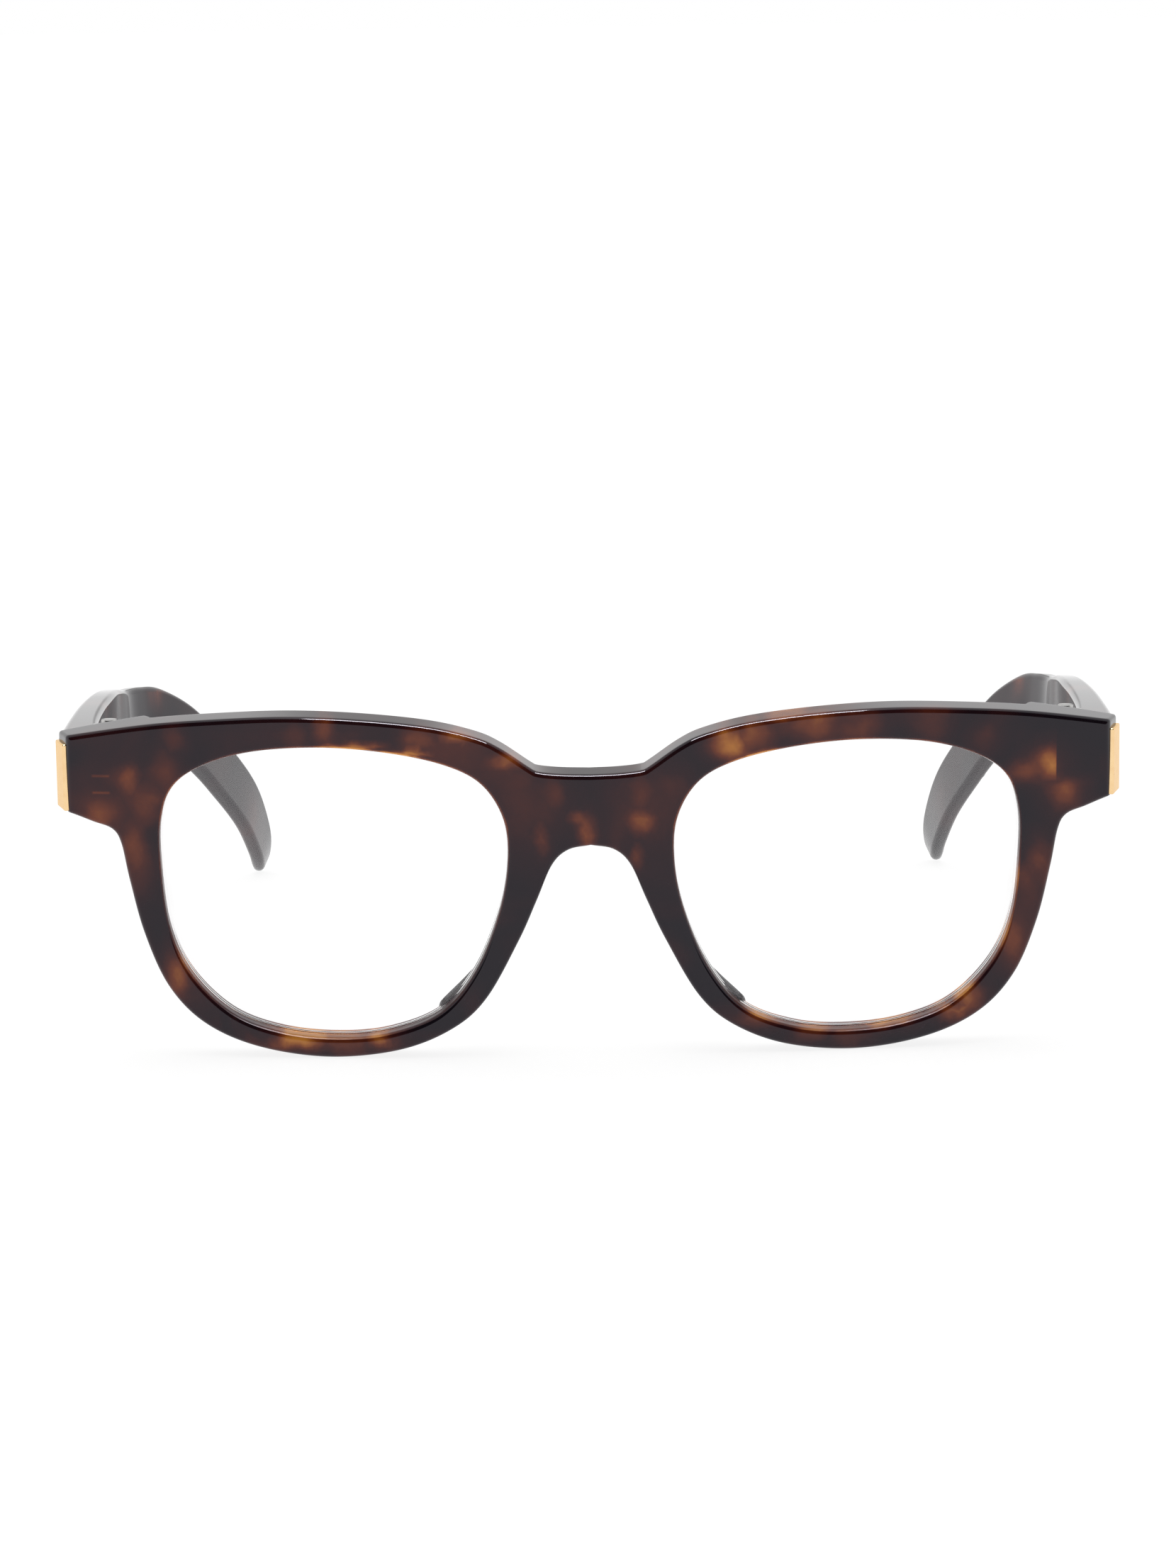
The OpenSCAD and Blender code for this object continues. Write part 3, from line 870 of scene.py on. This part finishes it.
def map_node(tree, value, low, high, to_low=0.0, to_high=1.0):
    made = tree.nodes.new("ShaderNodeMapRange")
    made.interpolation_type = "SMOOTHSTEP"
    tree.links.new(value, made.inputs["Value"])
    made.inputs["From Min"].default_value = low
    made.inputs["From Max"].default_value = high
    made.inputs["To Min"].default_value = to_low
    made.inputs["To Max"].default_value = to_high
    return made.outputs["Result"]


def ramp_node(tree, value, stops):
    made = tree.nodes.new("ShaderNodeValToRGB")
    ramp = made.color_ramp
    while len(ramp.elements) < len(stops):
        ramp.elements.new(0.5)
    for element, (at, colour) in zip(ramp.elements, stops):
        element.position = at
        element.color = (*colour, 1)
    tree.links.new(value, made.inputs["Fac"])
    return made.outputs["Color"]


HAVANA = [
    (0.00, (0.0070, 0.0042, 0.0068)), (0.20, (0.029, 0.0065, 0.0075)),
    (0.40, (0.085, 0.016, 0.008)), (0.60, (0.20, 0.045, 0.012)),
    (0.80, (0.42, 0.135, 0.024)), (1.00, (0.68, 0.27, 0.045)),
]


# Hinge metal behind the end pieces: low x, high x, low z, high z of the plate; x and z of the
# tines.
# Over the plate the acetate gets painted shade, as if the plate blocked light from behind; the
# tines show through lighter.
PLATE_PAINTED_SHADE = (65.7, 72, 38.4, 46.5)
TINE_GHOST_X = (-69.9, -67.4)
TINE_GHOST_Z = (38.3, 40.7)


def box_mask(tree, place, box, edge_x, edge_z):
    """1 inside (low x, high x, low z, high z), in millimetres, with soft edges; 0 outside."""
    low_x, high_x, low_z, high_z = box
    parts = tree.nodes.new("ShaderNodeSeparateXYZ")
    tree.links.new(place, parts.inputs[0])
    mask = None
    for value, low, high, edge in ((parts.outputs[0], low_x, high_x, edge_x),
                                   (parts.outputs[2], low_z, high_z, edge_z)):
        for at, start, end in ((low, 0.0, 1.0), (high, 1.0, 0.0)):
            step = map_node(tree, value, (at - edge) * MM, (at + edge) * MM, start, end)
            mask = step if mask is None else math_node(tree, "MULTIPLY", mask, step)
    return mask


def attribute_node(tree, name):
    made = tree.nodes.new("ShaderNodeAttribute")
    made.attribute_name = name
    return made.outputs["Fac"]


def acetate(name, clouds, gloss=0.42, hinge_shade_and_tines=False):
    """Polished tortoise acetate: placed patches, faint clouds and fine mottling.

    The last flag adds painted shade over the hinge plate, as if it blocked light from behind, and
    the tines that show faintly through the end pieces."""
    material, tree, shader = new_material(name)
    place = tree.nodes.new("ShaderNodeTexCoord").outputs["Object"]
    mottle = noise_node(tree, place, 300, 3, 0.5, 0.5)
    cloud = map_node(tree, noise_node(tree, place, 70, 2, 0.5, 0.6), 0.42, 0.70, 0.0, clouds)
    grain = math_node(tree, "MULTIPLY_ADD", mottle, 0.5)
    grain.node.inputs[2].default_value = 0.75
    light = math_node(tree, "MULTIPLY", attribute_node(tree, "patch"), grain)
    total = math_node(tree, "ADD", light, cloud, clamp=True)
    if hinge_shade_and_tines:
        # painted shade: the acetate darkened over the hinge plate behind it
        plate = box_mask(tree, place, PLATE_PAINTED_SHADE, 0.12, 1.2)
        total = math_node(tree, "MULTIPLY", total,
                          math_node(tree, "SUBTRACT", 1, math_node(tree, "MULTIPLY", plate, 0.65)))
        for z in TINE_GHOST_Z:
            tine = box_mask(tree, place, (*TINE_GHOST_X, z - 0.15, z + 0.15), 0.2, 0.2)
            total = math_node(tree, "ADD", total, math_node(tree, "MULTIPLY", tine, 0.3),
                              clamp=True)
    tree.links.new(ramp_node(tree, total, HAVANA), shader.inputs["Base Color"])
    # the openings' walls are only satin
    wall = attribute_node(tree, "wall")
    tree.links.new(map_node(tree, wall, 0, 1, 0.05, 0.28), shader.inputs["Roughness"])
    tree.links.new(map_node(tree, wall, 0, 1, gloss, 0.4), shader.inputs["Specular IOR Level"])
    shader.inputs["IOR"].default_value = 1.47
    shader.inputs["Specular Tint"].default_value = (0.93, 0.9, 1, 1)
    wave = noise_node(tree, place, 60, 2)
    bump = node(tree, "ShaderNodeBump", Strength=0.01, Distance=0.0004)
    tree.links.new(wave, bump.inputs["Height"])
    tree.links.new(bump.outputs["Normal"], shader.inputs["Normal"])
    return material


def metal(name, colour, dark, roughness, scale, edge=(1, 1, 1)):
    """Polished metal with fine brushed variation; edge tints what glances off it."""
    material, tree, shader = new_material(name)
    place = tree.nodes.new("ShaderNodeTexCoord").outputs["Object"]
    mottle = noise_node(tree, place, scale, 4)
    tree.links.new(ramp_node(tree, mottle, [(0.3, dark), (0.7, colour)]),
                   shader.inputs["Base Color"])
    shader.inputs["Metallic"].default_value = 1
    shader.inputs["Specular Tint"].default_value = (*edge, 1)
    tree.links.new(map_node(tree, mottle, 0.3, 0.7, roughness * 1.15, roughness),
                   shader.inputs["Roughness"])
    return material


def lens_material():
    """Clear demo lens with a faint, uneven haze, as from dust."""
    material, tree, shader = new_material("demo_lens_clear")
    shader.inputs["Base Color"].default_value = (1, 1, 1, 1)
    shader.inputs["Transmission Weight"].default_value = 1
    shader.inputs["IOR"].default_value = 1.5
    place = tree.nodes.new("ShaderNodeTexCoord").outputs["Object"]
    haze = noise_node(tree, place, 90, 2)
    tree.links.new(map_node(tree, haze, 0.3, 0.9, 0.0, 0.015), shader.inputs["Roughness"])
    return material


# ---- studio ----

def camera():
    """The main viewpoint: 0.67 m in front, 10 degrees down, a 100 mm lens."""
    yaw, pitch, roll = (math.radians(a) for a in (0.726, 10.164, 0.776))
    ahead = Vector((math.sin(yaw) * math.cos(pitch), math.cos(yaw) * math.cos(pitch),
                    -math.sin(pitch)))
    right = Vector((math.cos(yaw), -math.sin(yaw), 0))
    down = ahead.cross(right)
    across = right * math.cos(roll) + down * math.sin(roll)
    below = down * math.cos(roll) - right * math.sin(roll)
    data = bpy.data.cameras.new("camera")
    data.sensor_width = 36
    data.lens = 99.69
    data.clip_start = 0.01
    obj = bpy.data.objects.new("camera", data)
    bpy.context.scene.collection.objects.link(obj)
    turn = Matrix((across, -below, -ahead)).transposed().to_4x4()
    obj.matrix_world = Matrix.Translation((-0.00784, -0.6665, 0.14625)) @ turn
    bpy.context.scene.camera = obj


def floor():
    mesh = bpy.data.meshes.new("floor")
    size = 30
    mesh.from_pydata([(-size, -size, 0), (size, -size, 0), (size, size, 0), (-size, size, 0)],
                     [], [(0, 1, 2, 3)])
    obj = bpy.data.objects.new("floor", mesh)
    bpy.context.scene.collection.objects.link(obj)
    material, tree, shader = new_material("floor_white")
    shader.inputs["Base Color"].default_value = (0.2, 0.2, 0.2, 1)
    shader.inputs["Roughness"].default_value = 0.7
    shader.inputs["Specular IOR Level"].default_value = 0
    shader.inputs["Emission Color"].default_value = (1, 1, 1, 1)
    shader.inputs["Emission Strength"].default_value = 0.86
    obj.data.materials.append(material)


def surroundings():
    """White tent: a dark opening ahead and above, a brighter roof, and a dim patch low behind.

    The horizon stays white, so that the floor has no edge."""
    world = bpy.data.worlds.new("tent")
    bpy.context.scene.world = world
    world.use_nodes = True
    tree = world.node_tree
    background = tree.nodes["Background"]
    background.inputs["Color"].default_value = (1, 1, 1, 1)
    direction = tree.nodes.new("ShaderNodeTexCoord").outputs["Generated"]
    parts = tree.nodes.new("ShaderNodeSeparateXYZ")
    tree.links.new(direction, parts.inputs[0])
    x, y, z = parts.outputs
    flat = math_node(tree, "POWER", math_node(tree, "ADD", math_node(tree, "MULTIPLY", x, x),
                                              math_node(tree, "MULTIPLY", y, y)), 0.5)
    ahead = math_node(tree, "DIVIDE", math_node(tree, "MULTIPLY", y, -1),
                      math_node(tree, "MAXIMUM", flat, 0.001))
    above = map_node(tree, z, 0.0, 0.05)
    below_roof = map_node(tree, z, 0.93, 0.97, 1.0, 0.0)
    facing = map_node(tree, ahead, 0.25, 0.6)
    dark = math_node(tree, "MULTIPLY", math_node(tree, "MULTIPLY", above, below_roof), facing)
    roof = map_node(tree, z, 0.93, 0.99, 1.0, 1.8)
    aside = math_node(tree, "DIVIDE", math_node(tree, "ABSOLUTE", x, 0),
                      math_node(tree, "MAXIMUM", flat, 0.001))
    shade_behind = math_node(tree, "MULTIPLY", map_node(tree, aside, 0.02, 0.10, -0.38, 0.0),
                             map_node(tree, z, 0.3, 0.6, 1.0, 0.0))
    glow = math_node(tree, "MULTIPLY", shade_behind, map_node(tree, z, 0.02, 0.06))
    light = math_node(tree, "MULTIPLY", math_node(tree, "ADD", roof, glow),
                      map_node(tree, dark, 0.0, 1.0, 1.0, 0.02))
    tree.links.new(light, background.inputs["Strength"])


def area_light(name, where, aim, size, power):
    data = bpy.data.lights.new(name, "AREA")
    data.shape = "RECTANGLE"
    data.size, data.size_y = size
    data.energy = power
    obj = bpy.data.objects.new(name, data)
    bpy.context.scene.collection.objects.link(obj)
    obj.location = where
    obj.rotation_euler = (Vector(where) - Vector(aim)).to_track_quat("Z", "Y").to_euler()
    return obj


def lights():
    sun = bpy.data.lights.new("soft_top", "SUN")
    sun.energy = 0.6
    sun.angle = math.radians(70)
    top = bpy.data.objects.new("soft_top", sun)
    bpy.context.scene.collection.objects.link(top)
    top.visible_glossy = False
    strip = area_light("strip", (0, -0.09, 0.19), (0, -0.068, 0.048), (0.12, 0.03), 0.4)
    strip.visible_diffuse = False
    strip.visible_camera = False


# ---- the pieces ----

def build():
    havana = acetate("havana_polished", 0.22, hinge_shade_and_tines=True)
    temple_havana = acetate("temple_polished", 0.1, 0.4)
    pad_havana = acetate("pad_polished", 0.22)
    gold = metal("pale_gold", (0.92, 0.67, 0.37), (0.87, 0.60, 0.32), 0.12, 900,
                 (0.95, 0.83, 0.66))
    nickel = metal("hinge_nickel", (0.58, 0.57, 0.56), (0.53, 0.52, 0.51), 0.25, 1500)
    steel = metal("screw_steel", (0.52, 0.51, 0.50), (0.47, 0.46, 0.45), 0.22, 2500)
    wire = metal("core_wire_steel", (0.6, 0.6, 0.6), (0.45, 0.45, 0.45), 0.3, 2000)
    glass = lens_material()

    front = make_front()
    for side in ("left", "right"):
        body = f"{side}_temple"
        finish_piece(make_pad(side, front), pad_havana, "front", "pad_acetate",
                     f"nose_pad_{side}")
        lens = make_lens(side)
        lens.visible_shadow = False
        finish_piece(lens, glass, "front", "demo_lens", f"lens_{side}")
        finish_piece(make_plaque(side), gold, "front", "plaque_metal", f"plaque_{side}")
        finish_piece(make_front_leaf(side), nickel, "front", "hinge_metal",
                     f"hinge_front_leaf_{side}")
        finish_piece(make_temple_leaf(side), nickel, body, "hinge_metal",
                     f"hinge_temple_leaf_{side}")
        finish_piece(make_screw(side), steel, "front", "screw_metal", f"hinge_screw_{side}")
        finish_piece(make_temple(side), temple_havana, body, "temple_acetate", f"temple_{side}")
        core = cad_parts[f"core_wire_{side}"]
        core.data.materials.clear()
        core.data.materials.append(wire)
    finish_piece(front, havana, "front", "havana_acetate", "front_chassis")


bpy.context.scene.view_settings.view_transform = "Standard"
bpy.context.scene.view_settings.look = "None"
camera()
floor()
surroundings()
lights()
build()
